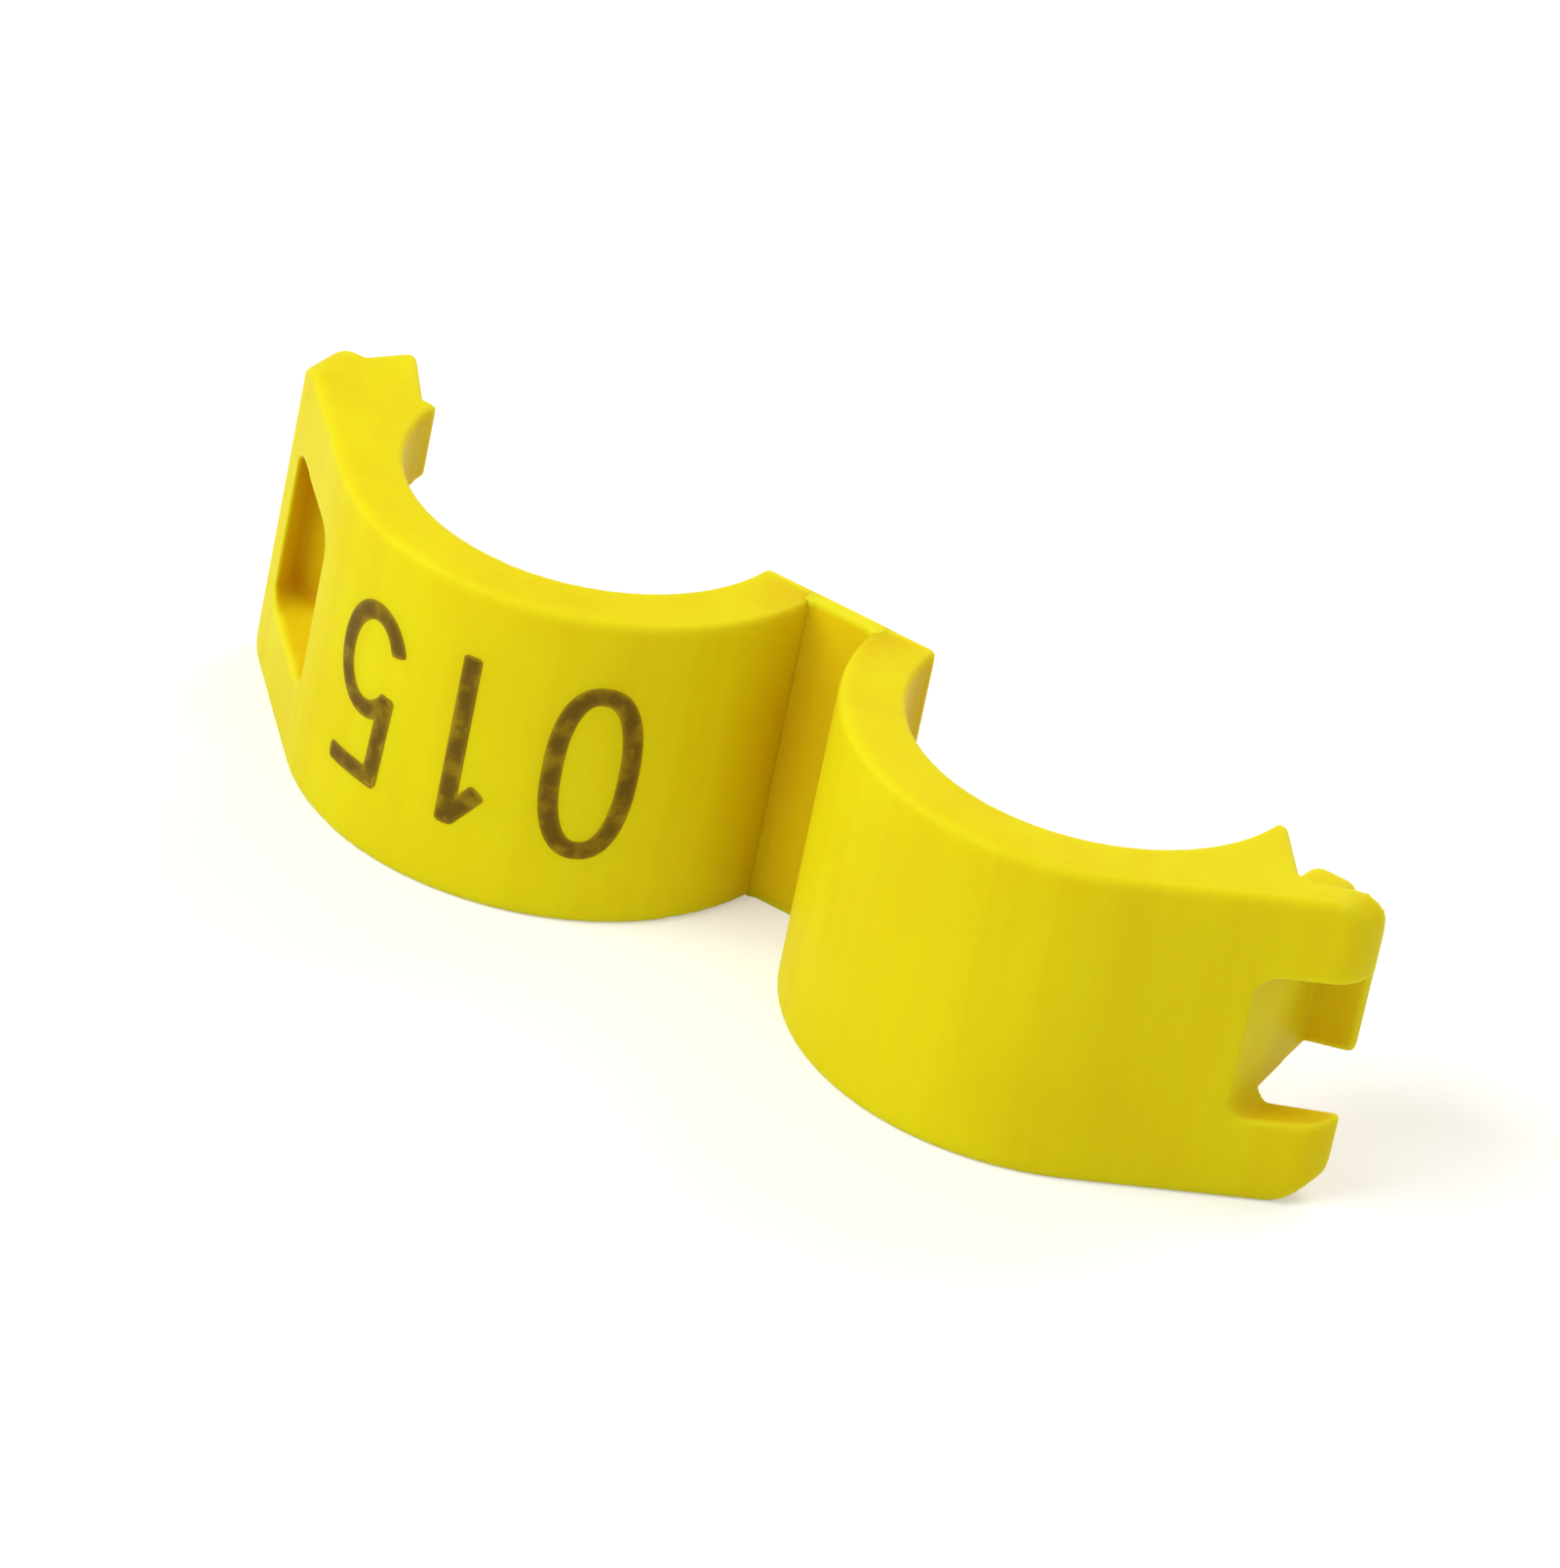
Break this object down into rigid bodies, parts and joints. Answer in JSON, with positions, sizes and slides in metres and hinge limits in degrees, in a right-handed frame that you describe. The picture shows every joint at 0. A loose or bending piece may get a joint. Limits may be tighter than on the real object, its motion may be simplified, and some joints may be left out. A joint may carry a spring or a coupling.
{
  "type": "bird leg ring",
  "caption": "Clip-on plastic leg ring for birds: half bands on a thin folding web, with a windowed end bar and a hook end that snap together round the leg.",
  "frame": {"origin": "centre of the numbered half's bore, midway across the band", "axes": "+Z along the bore, across the band; +X from the numbered half to the hook half; +Y out of the open hollows"},
  "size_m": [0.0261, 0.0076, 0.007],
  "materials": {
    "ring_plastic": "satin",
    "number_print": "matte"
  },
  "bodies": {
    "numbered_half": {"numbered_half": "ring_plastic", "folding_web": "ring_plastic"},
    "hook_half": {"hook_half": "ring_plastic", "latch_tongue": "ring_plastic"}
  },
  "joints": [
    {"name": "web_fold", "type": "hinge", "parent": "numbered_half", "child": "hook_half", "pos_m": [0.00605, 0, 0], "axis": [0, 0, 1], "range_deg": [0, 180], "deforming": ["folding_web", "latch_tongue"]}
  ]
}
